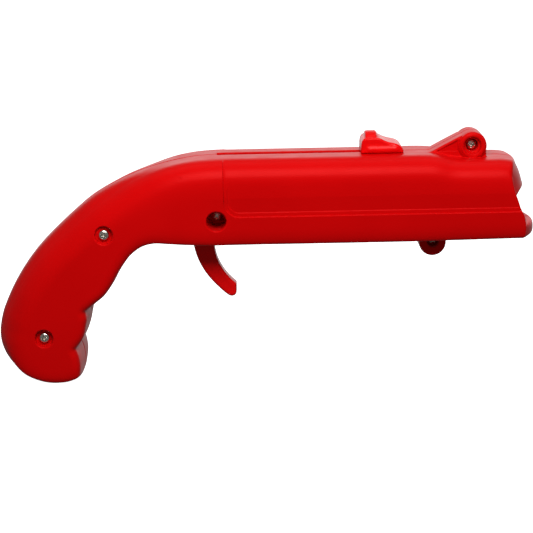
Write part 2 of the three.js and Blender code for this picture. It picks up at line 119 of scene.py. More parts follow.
def spline(points, step=0.4, corners=()):
    """A centripetal Catmull-Rom curve through the points, cut at the given corner indices."""
    cuts = [0, *corners, len(points) - 1]
    out = []
    for a, b in zip(cuts, cuts[1:]):
        p = [np.array(q, float) for q in points[a:b + 1]]
        p = [2 * p[0] - p[1], *p, 2 * p[-1] - p[-2]]
        for i in range(1, len(p) - 2):
            p0, p1, p2, p3 = p[i - 1:i + 3]
            t0 = 0.0
            t1 = t0 + max(np.linalg.norm(p1 - p0), 1e-6) ** 0.5
            t2 = t1 + max(np.linalg.norm(p2 - p1), 1e-6) ** 0.5
            t3 = t2 + max(np.linalg.norm(p3 - p2), 1e-6) ** 0.5
            n = max(2, int(np.linalg.norm(p2 - p1) / step))
            for t in np.linspace(t1, t2, n, endpoint=False):
                a1 = (t1 - t) / (t1 - t0) * p0 + (t - t0) / (t1 - t0) * p1
                a2 = (t2 - t) / (t2 - t1) * p1 + (t - t1) / (t2 - t1) * p2
                a3 = (t3 - t) / (t3 - t2) * p2 + (t - t2) / (t3 - t2) * p3
                b1 = (t2 - t) / (t2 - t0) * a1 + (t - t0) / (t2 - t0) * a2
                b2 = (t3 - t) / (t3 - t1) * a2 + (t - t1) / (t3 - t1) * a3
                out.append((t2 - t) / (t2 - t1) * b1 + (t - t1) / (t2 - t1) * b2)
    out.append(np.array(points[-1], float))
    return np.array(out)


def distance2(px, pz, line, closed):
    """Signed distance of points to a polyline, negative on its right-hand side."""
    start = line if closed else line[:-1]
    end = np.roll(line, -1, axis=0) if closed else line[1:]
    d = end - start
    length2 = np.maximum((d * d).sum(1), 1e-12)
    normal = np.stack([-d[:, 1], d[:, 0]], 1) / np.sqrt(length2)[:, None]
    if closed:
        at_start = normal + np.roll(normal, 1, axis=0)
        at_end = normal + np.roll(normal, -1, axis=0)
    else:
        at_start = normal.copy()
        at_start[1:] += normal[:-1]
        at_end = normal.copy()
        at_end[:-1] += normal[1:]
    shape = np.broadcast(px, pz).shape
    fx = np.broadcast_to(px, shape).ravel().astype(F32)
    fz = np.broadcast_to(pz, shape).ravel().astype(F32)
    out = np.empty(fx.size, F32)
    chunk = max(1, 6_000_000 // len(d))
    s32, d32, l32 = start.astype(F32), d.astype(F32), length2.astype(F32)
    for at in range(0, fx.size, chunk):
        x, z = fx[at:at + chunk, None], fz[at:at + chunk, None]
        t = np.clip(((x - s32[:, 0]) * d32[:, 0] + (z - s32[:, 1]) * d32[:, 1]) / l32, 0, 1)
        gap = (x - s32[:, 0] - t * d32[:, 0]) ** 2 + (z - s32[:, 1] - t * d32[:, 1]) ** 2
        best = gap.argmin(1)
        rows = np.arange(len(best))
        tb = t[rows, best]
        cx = fx[at:at + chunk] - s32[best, 0] - tb * d32[best, 0]
        cz = fz[at:at + chunk] - s32[best, 1] - tb * d32[best, 1]
        n = at_start[best] * (1 - tb)[:, None] + at_end[best] * tb[:, None]
        sign = np.where(cx * n[:, 0] + cz * n[:, 1] > 0, 1, -1)
        out[at:at + chunk] = np.sqrt(gap[rows, best]) * sign
    return out.reshape(shape)


class Field2:
    """A field in the XZ plane kept as a table and read back with cubic interpolation."""

    def __init__(self, line, low, high, pitch):
        self.low, self.pitch = low, pitch
        xs = np.arange(low[0], high[0] + pitch, pitch)
        zs = np.arange(low[1], high[1] + pitch, pitch)
        self.values = distance2(xs[:, None], zs[None, :], line, False)

    def __call__(self, x, z):
        u = (x - self.low[0]) / self.pitch
        v = (z - self.low[1]) / self.pitch
        nx, nz = self.values.shape
        i = np.clip(np.floor(u).astype(int), 1, nx - 3)
        j = np.clip(np.floor(v).astype(int), 1, nz - 3)
        wx, wz = self.weights(u - i), self.weights(v - j)
        total = 0
        for a in range(4):
            row = 0
            for b in range(4):
                row = row + wz[b] * self.values[i + a - 1, j + b - 1]
            total = total + wx[a] * row
        return total.astype(F32)

    @staticmethod
    def weights(t):
        t2, t3 = t * t, t * t * t
        return (
            (-t3 + 2 * t2 - t) / 2, (3 * t3 - 5 * t2 + 2) / 2,
            (-3 * t3 + 4 * t2 + t) / 2, (t3 - t2) / 2,
        )


# ---- surfaces from fields --------------------------------------------------------------------
CORNERS = [(a, b, c) for a in (0, 1) for b in (0, 1) for c in (0, 1)]
EDGES = [
    (p, q) for p in CORNERS for q in CORNERS
    if sum(q) - sum(p) == 1 and all(b >= a for a, b in zip(p, q))
]


def gradient(field, p, eps):
    out = np.empty_like(p)
    for k in range(3):
        step = np.zeros(3)
        step[k] = eps
        a, b = p + step, p - step
        out[:, k] = field(a[:, 0], a[:, 1], a[:, 2]) - field(b[:, 0], b[:, 1], b[:, 2])
    return out / (2 * eps)


def surface(field, low, high, pitch):
    """Points and quads of the field's zero surface, by surface nets, then pulled onto the field."""
    n = [int(math.ceil((b - a) / pitch)) + 1 for a, b in zip(low, high)]
    axes = [low[k] + pitch * np.arange(n[k]) for k in range(3)]
    values = np.empty(n, F32)
    slab_size = max(1, 4_000_000 // (n[1] * n[2]))
    for at in range(0, n[0], slab_size):
        x = axes[0][at:at + slab_size, None, None]
        values[at:at + slab_size] = field(x, axes[1][None, :, None], axes[2][None, None, :])
    inside = values < 0
    count = np.zeros([k - 1 for k in n], np.int8)
    for a, b, c in CORNERS:
        count += inside[a:n[0] - 1 + a, b:n[1] - 1 + b, c:n[2] - 1 + c]
    cells = (count > 0) & (count < 8)
    where = np.argwhere(cells)
    number = np.full(cells.shape, -1, np.int32)
    number[cells] = np.arange(len(where))
    total = np.zeros((len(where), 3))
    hits = np.zeros(len(where))
    for p, q in EDGES:
        v0 = values[tuple((where + p).T)]
        v1 = values[tuple((where + q).T)]
        cross = (v0 < 0) != (v1 < 0)
        t = np.where(cross, v0 / np.where(cross, v0 - v1, 1), 0)
        point = where + np.array(p) + t[:, None] * (np.array(q) - np.array(p))
        total[cross] += point[cross]
        hits += cross
    points = np.array(low) + pitch * total / hits[:, None]
    quads = []
    for axis in range(3):
        u, v = [k for k in range(3) if k != axis]
        a = np.take(inside, range(n[axis] - 1), axis)
        b = np.take(inside, range(1, n[axis]), axis)
        change = a != b
        edge = np.argwhere(change)
        edge = edge[(edge[:, u] > 0) & (edge[:, v] > 0) & (edge[:, u] < n[u] - 1) & (edge[:, v] < n[v] - 1)]
        first = a[tuple(edge.T)]
        ring = []
        for du, dv in ((-1, -1), (0, -1), (0, 0), (-1, 0)):
            cell = edge.copy()
            cell[:, u] += du
            cell[:, v] += dv
            ring.append(number[tuple(cell.T)])
        ring = np.stack(ring, 1)
        flip = first if axis != 1 else ~first
        ring[~flip] = ring[~flip][:, ::-1]
        quads.append(ring)
    quads = np.concatenate(quads)
    return settle(field, points, pitch, 2), quads


def settle(field, points, pitch, rounds):
    for _ in range(rounds):
        g = gradient(field, points, 0.04)
        f = field(points[:, 0], points[:, 1], points[:, 2])
        size2 = np.maximum((g * g).sum(1), 0.05)
        step = -(f / size2)[:, None] * g
        reach = np.linalg.norm(step, axis=1, keepdims=True)
        points = points + step * np.minimum(1, 0.35 * pitch / np.maximum(reach, 1e-9))
    return points


def unit_normals(field, points, eps):
    g = gradient(field, points, eps)
    return g / np.maximum(np.linalg.norm(g, axis=1, keepdims=True), 1e-9)


def mesh_object(name, points, faces, normals=None):
    mesh = bpy.data.meshes.new(name)
    faces = faces.tolist() if isinstance(faces, np.ndarray) else faces
    mesh.from_pydata((np.asarray(points) * MM).tolist(), [], faces)
    mesh.validate()
    mesh.update()
    obj = bpy.data.objects.new(name, mesh)
    bpy.context.scene.collection.objects.link(obj)
    mesh.shade_smooth()
    if normals is not None:
        mesh.normals_split_custom_set_from_vertices(normals.tolist())
    return obj


def carve(name, field, low, high, pitch, most_faces=None, soft=0.12):
    """An object on the field's zero surface, thinned where it is flat, with the field's own normals."""
    points, quads = surface(field, low, high, pitch)
    obj = mesh_object(name, points, quads)
    triangles = 2 * len(quads)
    if most_faces and triangles > most_faces:
        thin = obj.modifiers.new("thin", "DECIMATE")
        thin.ratio = most_faces / triangles
        graph = bpy.context.evaluated_depsgraph_get()
        thinned = bpy.data.meshes.new_from_object(obj.evaluated_get(graph), depsgraph=graph)
        obj.modifiers.remove(thin)
        old = obj.data
        obj.data = thinned
        bpy.data.meshes.remove(old)
        thinned.name = name
    mesh = obj.data
    co = np.empty(len(mesh.vertices) * 3)
    mesh.vertices.foreach_get("co", co)
    co = co.reshape(-1, 3) / MM
    co = settle(field, co, pitch, 1)
    mesh.vertices.foreach_set("co", (co * MM).astype(F32).ravel())
    mesh.update()
    mesh.shade_smooth()
    mesh.normals_split_custom_set_from_vertices(unit_normals(field, co, soft).tolist())
    return obj


# ---- body ------------------------------------------------------------------------------------
BARREL_TOP, MUZZLE_TOP, BARREL_BOTTOM = 84.5, 82.4, 54.3
BACK = [  # x, z of the top and back edge, from the muzzle to the butt
    (110, 80.5), (96, 81.2), (88, 81.8), (84, MUZZLE_TOP), (78, 82.5), (72, 82.5), (68.2, 82.6),
    (65.8, 82.9), (63.5, 83.5), (61.2, 84.05), (58.8, 84.35), (55, BARREL_TOP), (40, BARREL_TOP),
    (0, BARREL_TOP), (-9, BARREL_TOP), (-16.8, 84.4), (-25.2, 83.75), (-35.4, 81.6), (-45.8, 77.9),
    (-53.5, 74), (-60.4, 69.8), (-66.1, 65.2), (-71.4, 60.5), (-76.2, 56), (-80.7, 51.2), (-84.8, 45.9),
    (-87.6, 41.7), (-90, 37.6), (-92, 33.6), (-93.8, 29.5), (-94.9, 25.6), (-95.5, 21.7), (-95.2, 18),
    (-94, 14.6), (-92.3, 11.9), (-89.9, 9.35), (-86.8, 6.9),
    (-83, 5), (-79.3, 3.8), (-75.9, 3.35), (-73.2, 3.4), (-70.3, 3.75), (-65, 5.7), (-50, 13),
]
STRAP = [  # x, z of the bottom and front edge, with a corner between the finger grooves
    (110, 54.7), (88, 54.7), (70, 54.5), (52, BARREL_BOTTOM), (0, BARREL_BOTTOM), (-18, 54.35),
    (-26, 54.7), (-32.6, 55.1), (-37.9, 55.3), (-42.3, 54), (-46.2, 50.9), (-48.8, 47.4), (-51, 43.9),
    (-53.2, 39.9), (-55.9, 36.2), (-59, 33.6), (-62.8, 30.6), (-62.4, 28), (-62.9, 25.2), (-63.5, 22.6),
    (-64.6, 20), (-66.8, 17), (-66, 14.6),
    (-65.6, 12.2), (-65.5, 10), (-65.7, 8), (-66, 6.1), (-66.5, 4.5), (-67.8, 2.6), (-71, -2), (-80, -18),
]
CUSPS = (16, 21)  # places of those corners in the list
WALL = 2.2
PANEL = {"x": -13.5, "z": 64.4, "deep": 0.7, "corner": 5.5}
POCKET = {"x": 62.0, "y": 15.3, "z": (59.3, 67.9)}
MUZZLE = [  # z, x at the side wall's edge, bulge at the seam
    (40, 90.6, 4.7), (53.9, 90.6, 4.7), (56.7, 90.9, 4.7), (58.5, 90.9, 4.4), (59.3, 90.85, 4.0),
    (62.6, 90.3, 2.9), (65.6, 89, 3.0), (67.9, 88.2, 3.7), (69.2, 87.7, 4.3), (70.5, 87.2, 4.7),
    (72.5, 86.6, 4.8), (76.3, 85.9, 4.35),
    (79.5, 85.5, 3.3), (81.2, 85.5, 2.6), (82.1, 85.6, 2.2), (100, 85.6, 1.8),
]
PIVOT = (-16.2, 63.1)
SCREWS = {  # x, z, head seat, far end, recess radius, recess mouth
    "screw_grip_low": (-78.2, 21.5, 12.4, 6, 3.15, 19),
    "screw_grip_high": (-55.4, 58.6, 13.9, 6, 3.15, 19),
    "screw_trigger": (*PIVOT, 6.5, 9, 3.4, 19),
    "screw_top_ear": (73.3, 86, 2.2, 5, 2.15, 9),
    "screw_bottom_ear": (59.8, 52, 2.2, 5, 2.1, 19),
}

EAR = {"x": 73.4, "z": 85.85, "r": 4.9, "half": 5.5, "disc": 6.5, "ring_r": 4.2, "ring": 6.85, "pocket": 5.1}
TABLE = ((-104, -8), (104, 100), 0.5)  # low corner, high corner and pitch of the outlines' tables
back_field = Field2(spline(BACK), *TABLE)
strap_field = Field2(spline(STRAP, corners=CUSPS), *TABLE)


def arc(cx, cz, r, start, end, n=16):
    """Points of an arc, angles in degrees."""
    turns = np.radians(np.linspace(start, end, n))
    return [(cx + r * math.cos(t), cz + r * math.sin(t)) for t in turns]


def corner_outline(points):
    """A closed outline with straight sides."""
    line = np.array(points, float)
    if 0.5 * np.sum(line[:, 0] * np.roll(line[:, 1], -1) - np.roll(line[:, 0], -1) * line[:, 1]) > 0:
        line = line[::-1]
    return lambda x, z: distance2(x, z, line, True)


top_ear = corner_outline([
    (57.6, 80.5), (57.6, 83.2), (63.5, 86.35), (68.6, 88.95), (69.6, 89.35),
    *arc(EAR["x"], EAR["z"], EAR["r"], 132, 0, 22), (78.3, 80.5),
])
ear_pocket = corner_outline([(60.9, 84.0), (68.1, 87.75), (68.1, 84.0)])
low_ear = corner_outline([(54.9, 56.5), *arc(59.65, 51.6, 4.75, 180, 360, 24), (64.4, 56.5)])


def rounded(s, a, width, deep, wide, power=2.0):
    """Where a side wall at |y| = width meets an edge at depth s = 0, with a superelliptical corner."""
    p, q = (deep - s) / deep, (a - width + wide) / wide
    pp, qp = np.maximum(p, 0) ** power, np.maximum(q, 0) ** power
    size = pp + qp
    scale = np.where(size > 0, (deep * pp + wide * qp) / np.maximum(size, 1e-9), np.minimum(deep, wide))
    return scale * (size ** (1 / power) - 1 + np.minimum(np.maximum(p, q), 0))


def body(x, a, z, inset):
    """The outer skin, or the hollow inside it when inset is the wall's thickness."""
    barrel = smoothstep((x + 28) / 20)
    width = 14.3 + 3.7 * smoothstep((x + 100) / 90) - inset - 0.06 * barrel * np.maximum(71 - z, 0)
    grip = smoothstep((-28 - x) / 34)
    butt = smoothstep((24 - z) / 18)
    near = np.minimum(a, 8)
    ridge = (0.016 * near ** 2 + 0.00022 * near ** 4 + 0.706 * (a - near)) * (1 - 0.75 * butt)
    grown = 0.02 + 0.14 * smoothstep((z - 25) / 20)
    back = back_field(x, z) - inset - (0.65 + 0.0006 * a * a) * (1 - grip) - (ridge - grown) * grip
    deep = 13.5 - (8.5 + butt) * grip - 0.8 * inset
    wide = 9.4 - (3.9 + 3.7 * butt) * grip
    upper = rounded(back, a, width, deep, wide - 0.6 * np.minimum(inset, wide), 2.6 - 0.6 * grip)
    grip = smoothstep((-34 - x) / 22)
    strap = -strap_field(x, z) - inset - 0.003 * grip * a * a
    lower = rounded(strap, a, width, 8 - 5 * grip - 0.7 * inset, 1.8 + 1.2 * grip - 0.4 * inset)
    return smax(upper, lower, 1.2)


def reaches(x, low, high):
    """Whether a slice of points comes near a stretch of the length."""
    return np.max(x) > low - 4 and np.min(x) < high + 4


def disc(x, z, cx, cz):
    return np.sqrt((x - cx) ** 2 + (z - cz) ** 2)


def panel_edge(x, z, x0, z0, r):
    """The recessed panel's outline, with a rounded lower rear corner."""
    p, q = r - (x - x0), r - (z - z0)
    return np.sqrt(np.maximum(p, 0) ** 2 + np.maximum(q, 0) ** 2) - r + np.minimum(np.maximum(p, q), 0)


def shell_field(side):
    """One half of the body: side is -1 for the right-hand half and 1 for the left."""

    def field(x, y, z):
        a = y * side
        outer = body(x, np.abs(a), z, 0.0)
        f = outer
        if reaches(x, PANEL["x"], 100):
            sunk = body(x, np.abs(a) + PANEL["deep"] * smoothstep((x - PANEL["x"] + 1.5) / 3), z, 0.0)
            step = panel_edge(x, z, PANEL["x"], PANEL["z"], PANEL["corner"])
            f = smax(f, np.minimum(np.minimum(sunk, -1.8 * step), a - 6), 0.1)
            inner = panel_edge(x, z, PANEL["x"] + 1.3, PANEL["z"] + 1.45, 4.2)
            f = smax(f, np.minimum(sunk + 0.16 * smoothstep((79 - z) / 6), np.minimum(-inner, a - 12)), 0.1)
        if reaches(x, 57, 79):
            ear = smax(top_ear(x, z), a - EAR["half"], 0.9)
            f = smin(f, ear, 0.7)
            r = disc(x, z, EAR["x"], EAR["z"])
            f = smin(f, smax(np.maximum(r - EAR["r"], 78 - z), a - EAR["disc"], 0.8), 0.3)
            f = smin(f, smax(r - EAR["ring_r"], a - EAR["ring"], 0.3), 0.2)
            f = smax(f, -np.maximum(ear_pocket(x, z), EAR["pocket"] - a), 0.2)
            f = smax(f, -np.maximum(disc(x, z, 73.3, 86) - 3.0, 5.4 - a), 0.5)
        if reaches(x, 54, 65):
            f = smin(f, smax(low_ear(x, z), a - 6, 0.8), 0.6)
        if reaches(x, 80, 97):
            face = table1(z, MUZZLE, 1) + table1(z, MUZZLE, 2) * np.maximum(1 - (y / POCKET["y"]) ** 2, 0)
            f = smax(f, (x - face) * 0.92, 0.9)
        skin = f
        if reaches(x, -100, POCKET["x"]):
            hollow = np.maximum(body(x, np.abs(a), z, WALL), x - POCKET["x"])
            f = np.maximum(f, -hollow)
        if reaches(x, 61, 97):
            ceiling = POCKET["z"][1] + 3.1 * smoothstep((x - 84) / 7)
            mouth = box3(x, y, z, (61, 120), (-POCKET["y"], POCKET["y"]), (POCKET["z"][0], ceiling))
            f = smax(f, -mouth, 1.0)
            above = box3(x, y, z, (64, 83.5), (-14.6, 14.6), (70.1, 80))
            f = np.maximum(f, -np.maximum(above, body(x, np.abs(a), z, WALL)))
        fill = inner_works(x, a, z)
        if fill is not None:
            f = np.minimum(f, np.maximum(fill, skin + 0.4))
        f = holes(f, x, y, a, z, side)
        return smax(f, 0.03 - a, 0.4 + 0.4 * smoothstep((-20 - x) / 10)).astype(F32)

    return field


def inner_works(x, a, z):
    """Bosses, rails, the striker's front stop and the spring seat."""
    parts = []
    for name, (cx, cz, seat, _, _, _) in SCREWS.items():
        if name.endswith("ear") or not reaches(x, cx - 5, cx + 5):
            continue
        r = disc(x, z, cx, cz)
        parts.append(np.maximum(r - (2.6 if name == "screw_trigger" else 3.0), a - 17))
        parts.append(np.maximum(r - 4.7, slab(a, seat - 1.6, 17.4)))
    if reaches(x, -21, -11):
        parts.append(np.maximum(disc(x, z, *PIVOT) - 4.7, slab(a, 3.4, 16)))
    if reaches(x, -22, 63):
        for low, high in ((73.3, 74.9), (77.1, 78.7)):
            parts.append(box3(x, a, z, (-22, 60.6), (11.7, 16.5), (low, high)))
        parts.append(box3(x, a, z, (60.6, 63), (11.7, 16.5), (73.3, 78.7)))
    if reaches(x, -37, -34):
        parts.append(box3(x, a, z, (-37, -34.3), (-1, 16.5), (66.5, 82)))
    if not parts:
        return None
    out = parts[0]
    for p in parts[1:]:
        out = smin(out, p, 0.4)
    return out


def holes(f, x, y, a, z, side):
    """Screw recesses and pilots, the knob's slot, the trigger's slot and the wear plate's seat."""
    for cx, cz, seat, end, recess, mouth in SCREWS.values():
        if not reaches(x, cx - 5, cx + 5):
            continue
        r = disc(x, z, cx, cz)
        if side < 0:
            f = np.maximum(f, -np.maximum(r - 1.35, a - seat - 1))
            f = smax(f, -np.maximum(r - recess, slab(a, seat, mouth)), 0.55)
        else:
            f = np.maximum(f, -np.maximum(r - 1.15, a - end - 1))
    if reaches(x, -16, 47):
        f = smax(f, -box3(x, y, z, (-15.8, 46.6), (-2, 2), (78, 95)), 0.5)
    if reaches(x, -28, -15):
        f = smax(f, -box3(x, y, z, (-27.6, -15.6), (-3.5, 3.5), (45, 57.5)), 0.4)
    if reaches(x, 68, 88):
        f = np.maximum(f, -box3(x, y, z, (68, 88), (-11.5, 11.5), (58.1, 60)))
        for py in (-7.5, 7.5):
            f = np.maximum(f, -np.maximum(disc(x, y, 78, py) - 0.95, slab(z, 54.9, 58.5)))
    return f


def bezier(p0, p1, p2, p3, n=12):
    """Points of a cubic curve, without its last."""
    p = [np.array(q, float) for q in (p0, p1, p2, p3)]
    return [
        tuple((1 - t) ** 3 * p[0] + 3 * (1 - t) ** 2 * t * p[1] + 3 * (1 - t) * t * t * p[2] + t ** 3 * p[3])
        for t in np.linspace(0, 1, n, endpoint=False)
    ]


# ---- knob ------------------------------------------------------------------------------------
knob_side = corner_outline([
    (34.5, 83.92), *bezier((34.6, 86.8), (34.8, 88.6), (35.4, 89.3), (36.8, 89.4), 8),
    *bezier((36.8, 89.4), (40.2, 89.5), (41.2, 89.3), (42, 88.7), 8),
    *bezier((42, 88.7), (43.3, 88.0), (44.2, 87.8), (45.5, 87.5), 8),
    *bezier((45.5, 87.5), (48.1, 87), (49.2, 86.2), (49.4, 83.92), 10), (49.4, 83.92),
])
fin_side = corner_outline([
    (35.8, 88.3), (36.0, 90.3), *arc(36.8, 90.38, 0.75, 180, 95, 5), (39.5, 91.13),
    *arc(39.5, 90.43, 0.7, 85, 35, 4), (42.0, 88.1),
])


def knob_field(x, y, z):
    a = np.abs(y)
    swell = np.exp(-(((z - 85.2) / 1.2) ** 2)) * smoothstep((x - 35.5) / 2) * smoothstep((48.8 - x) / 2.5)
    flank = 6.4 + 0.6 * swell
    head = smax(knob_side(x, z), a - flank, 0.9)
    fin = smax(fin_side(x, z + 0.06 * y * y), a - 5.0, 0.7)
    neck = box3(x, y, z, (34.8, 46), (-1.7, 1.7), (81, 85.5))
    foot = box3(x, y, z, (40.2, 46), (-3, 3), (76, 81.4))
    f = smin(smin(head, fin, 0.5), smin(neck, foot, 0.3), 0.3)
    return smax(f, -np.maximum(disc(x, y, 43.1, 0) - 1.0, z - 80.8), 0.2).astype(F32)


# ---- trigger ---------------------------------------------------------------------------------
finger = corner_outline([
    (-20.6, 60.5), (-24.6, 56), *bezier((-25, 52), (-23.9, 44), (-19.3, 38.5), (-14.9, 34.5), 16),
    *bezier((-14.9, 34.5), (-13.4, 33.1), (-12.7, 32.55), (-11.8, 32.5), 6),
    *bezier((-11.8, 32.5), (-10.5, 32.6), (-10, 33.4), (-10, 34.4), 6), (-10, 37.1),
    *bezier((-10.3, 37.4), (-12, 38.8), (-13.4, 40.5), (-14.4, 42), 6),
    *bezier((-14.4, 42), (-16.3, 45), (-17.5, 48), (-17.6, 52), 10), (-17.6, 52), (-17.4, 56), (-13.4, 59.5),
])
sear = corner_outline([
    (-14.5, 66.6), (-3, 66.6), (-1.4, 68.5), (1.4, 68.5), (1.4, 65.4), (-2.4, 63), (-4, 61.2), (-9, 61.2),
    (-13.5, 59.5),
])


def trigger_field(x, y, z):
    a = np.abs(y)
    blade = smax(finger(x, z), a - 3, 1.3)
    eye = smax(disc(x, z, *PIVOT) - 5.1, a - 3, 0.6)
    arm = smax(sear(x, z), a - 2.6, 0.5)
    f = smin(smin(blade, eye, 0.5), arm, 0.5)
    return smax(f, 3.46 - disc(x, z, *PIVOT), 0.2).astype(F32)


# ---- screws ----------------------------------------------------------------------------------
HEAD_R, HEAD_T, THREAD = 1.8, 1.4, 0.9
CROSS = {"half": 0.24, "reach": 1.15, "deep": 0.95}


def screw_field(length, turn):
    """A cross-recess self-tapping screw along w, its head's underside at w = 0."""
    c, s = math.cos(turn), math.sin(turn)

    def field(u, v, w):
        r = np.sqrt(u * u + v * v)
        crown = w - HEAD_T + 0.5 * (r / HEAD_R) ** 2
        head = smax(smax(r - HEAD_R, crown, 0.35), -w, 0.1)
        p, q = np.abs(c * u + s * v), np.abs(c * v - s * u)
        tip = CROSS["reach"] - 0.55 * (HEAD_T - w) / CROSS["deep"]
        wing = np.minimum(np.maximum(p - CROSS["half"], q - tip), np.maximum(q - CROSS["half"], p - tip))
        recess = smax(wing, HEAD_T - CROSS["deep"] - w, 0.1)
        head = smax(head, -recess, 0.08)
        lead = np.abs(((np.arctan2(v, u) / (2 * math.pi) - w / THREAD) % 1) - 0.5) * 2
        core = 0.8 + 0.27 * np.clip(1.6 * lead - 0.6, 0, 1)
        taper = np.clip((w + length) / 1.6, 0.02, 1)
        shank = smax(r - core * taper, -(w + length), 0.1)
        shank = np.maximum(shank, w - 0.3)
        return smin(head, shank, 0.1).astype(F32)

    return field


# ---- wire ------------------------------------------------------------------------------------
def tube(name, path, radius, sides):
    """A round wire along the points, with domed ends."""
    path = np.array(path, float)
    tangent = np.gradient(path, axis=0)
    tangent /= np.linalg.norm(tangent, axis=1, keepdims=True)
    side = np.cross(tangent[0], (0.31, 0.17, 0.93))
    rings, where = [], []
    for i, p in enumerate(path):
        side = side - tangent[i] * side.dot(tangent[i])
        side /= np.linalg.norm(side)
        up = np.cross(tangent[i], side)
        angles = np.linspace(0, 2 * math.pi, sides, endpoint=False)
        rings.append(p + radius * (np.cos(angles)[:, None] * side + np.sin(angles)[:, None] * up))
        where.append((p, tangent[i]))
    (p0, t0), (p1, t1) = where[0], where[-1]
    first = [p0 + (rings[0] - p0) * 0.6 - t0 * radius * 0.6]
    last = [p1 + (rings[-1] - p1) * 0.6 + t1 * radius * 0.6]
    rings = [*first, *rings, *last]
    n = len(rings)
    points = np.concatenate([*rings, [p0 - t0 * radius * 0.75], [p1 + t1 * radius * 0.75]])
    faces = []
    for i in range(n - 1):
        for j in range(sides):
            k = (j + 1) % sides
            faces.append((i * sides + j, i * sides + k, (i + 1) * sides + k, (i + 1) * sides + j))
    for j in range(sides):
        k = (j + 1) % sides
        faces.append((k, j, n * sides))
        faces.append(((n - 1) * sides + j, (n - 1) * sides + k, n * sides + 1))
    return mesh_object(name, points, faces)


def helix(radius, wire, turns, length, per_turn):
    """Points of a compression spring along its own axis, with closed end turns."""
    out = []
    dead = 1 / turns
    close = 2 * wire * 1.05
    rise = length - 2 * wire - 2 * close
    for t in np.linspace(0, 1, turns * per_turn + 1):
        angle = 2 * math.pi * turns * t
        mid = min(max((t - dead) / (1 - 2 * dead), 0), 1)
        ends = min(t / dead, 1) + max((t - 1 + dead) / dead, 0)
        out.append((radius * math.cos(angle), radius * math.sin(angle), wire + close * ends + rise * mid))
    return out


# ---- materials -------------------------------------------------------------------------------
class Nodes:
    """A node material in the making."""

    def __init__(self, name):
        self.material = bpy.data.materials.new(name)
        self.material.use_nodes = True
        self.tree = self.material.node_tree
        self.surface = self.tree.nodes["Principled BSDF"]
        self.place = self.add("ShaderNodeTexCoord").outputs["Object"]

    def add(self, kind, **settings):
        node = self.tree.nodes.new(kind)
        for key, value in settings.items():
            setattr(node, key, value)
        return node

    def link(self, source, target):
        self.tree.links.new(source, target)

    def noise(self, scale, detail=3.0, roughness=0.5, stretch=None):
        node = self.add("ShaderNodeTexNoise")
        node.inputs["Scale"].default_value = scale
        node.inputs["Detail"].default_value = detail
        node.inputs["Roughness"].default_value = roughness
        place = self.place
        if stretch:
            mapping = self.add("ShaderNodeMapping")
            mapping.inputs["Scale"].default_value = stretch
            self.link(place, mapping.inputs["Vector"])
            place = mapping.outputs["Vector"]
        self.link(place, node.inputs["Vector"])
        return node.outputs["Fac"]

    def ramp(self, value, stops):
        node = self.add("ShaderNodeValToRGB")
        while len(node.color_ramp.elements) < len(stops):
            node.color_ramp.elements.new(0.5)
        for element, (at, colour) in zip(node.color_ramp.elements, stops):
            element.position = at
            element.color = (*colour, 1)
        self.link(value, node.inputs["Fac"])
        return node.outputs["Color"]

    def spread(self, value, low, high, frm=(0.3, 0.7)):
        node = self.add("ShaderNodeMapRange")
        node.inputs["From Min"].default_value, node.inputs["From Max"].default_value = frm
        node.inputs["To Min"].default_value, node.inputs["To Max"].default_value = low, high
        self.link(value, node.inputs["Value"])
        return node.outputs["Result"]

    def bumps(self, *layers):
        """Each layer is a height, its strength and its depth in metres."""
        normal = None
        for height, strength, depth in layers:
            node = self.add("ShaderNodeBump")
            node.inputs["Strength"].default_value = strength
            node.inputs["Distance"].default_value = depth
            self.link(height, node.inputs["Height"])
            if normal is not None:
                self.link(normal, node.inputs["Normal"])
            normal = node.outputs["Normal"]
        self.link(normal, self.surface.inputs["Normal"])

    def set(self, **values):
        for key, value in values.items():
            self.surface.inputs[key.replace("_", " ")].default_value = value
        return self


def red_plastic(name, dark, light, rough, tint):
    m = Nodes(name)
    m.set(IOR=1.46, Specular_Tint=(*tint, 1), Specular_IOR_Level=0.25)
    m.link(m.ramp(m.noise(38, 2), [(0.3, dark), (0.7, light)]), m.surface.inputs["Base Color"])
    m.link(m.spread(m.noise(160, 4), rough[0], rough[1]), m.surface.inputs["Roughness"])
    sink = m.noise(70, 1)
    peel = m.noise(1500, 2)
    m.bumps((sink, 0.08, 0.0004), (peel, 0.12, 0.00003))
    return m.material


def metal(name, dark, light, rough, stretch, scale):
    m = Nodes(name)
    m.set(Metallic=1.0)
    grain = m.noise(scale, 4, 0.6, stretch)
    m.link(m.ramp(m.noise(600, 3), [(0.3, dark), (0.7, light)]), m.surface.inputs["Base Color"])
    m.link(m.spread(grain, *rough), m.surface.inputs["Roughness"])
    m.bumps((grain, 0.2, 0.00002))
    return m.material


def rubber(name):
    m = Nodes(name)
    blacks = m.ramp(m.noise(900, 3), [(0.3, (0.012, 0.012, 0.012)), (0.7, (0.03, 0.03, 0.032))])
    m.link(blacks, m.surface.inputs["Base Color"])
    m.link(m.spread(m.noise(500, 3), 0.7, 0.9), m.surface.inputs["Roughness"])
    m.bumps((m.noise(2500, 2), 0.4, 0.00003))
    return m.material


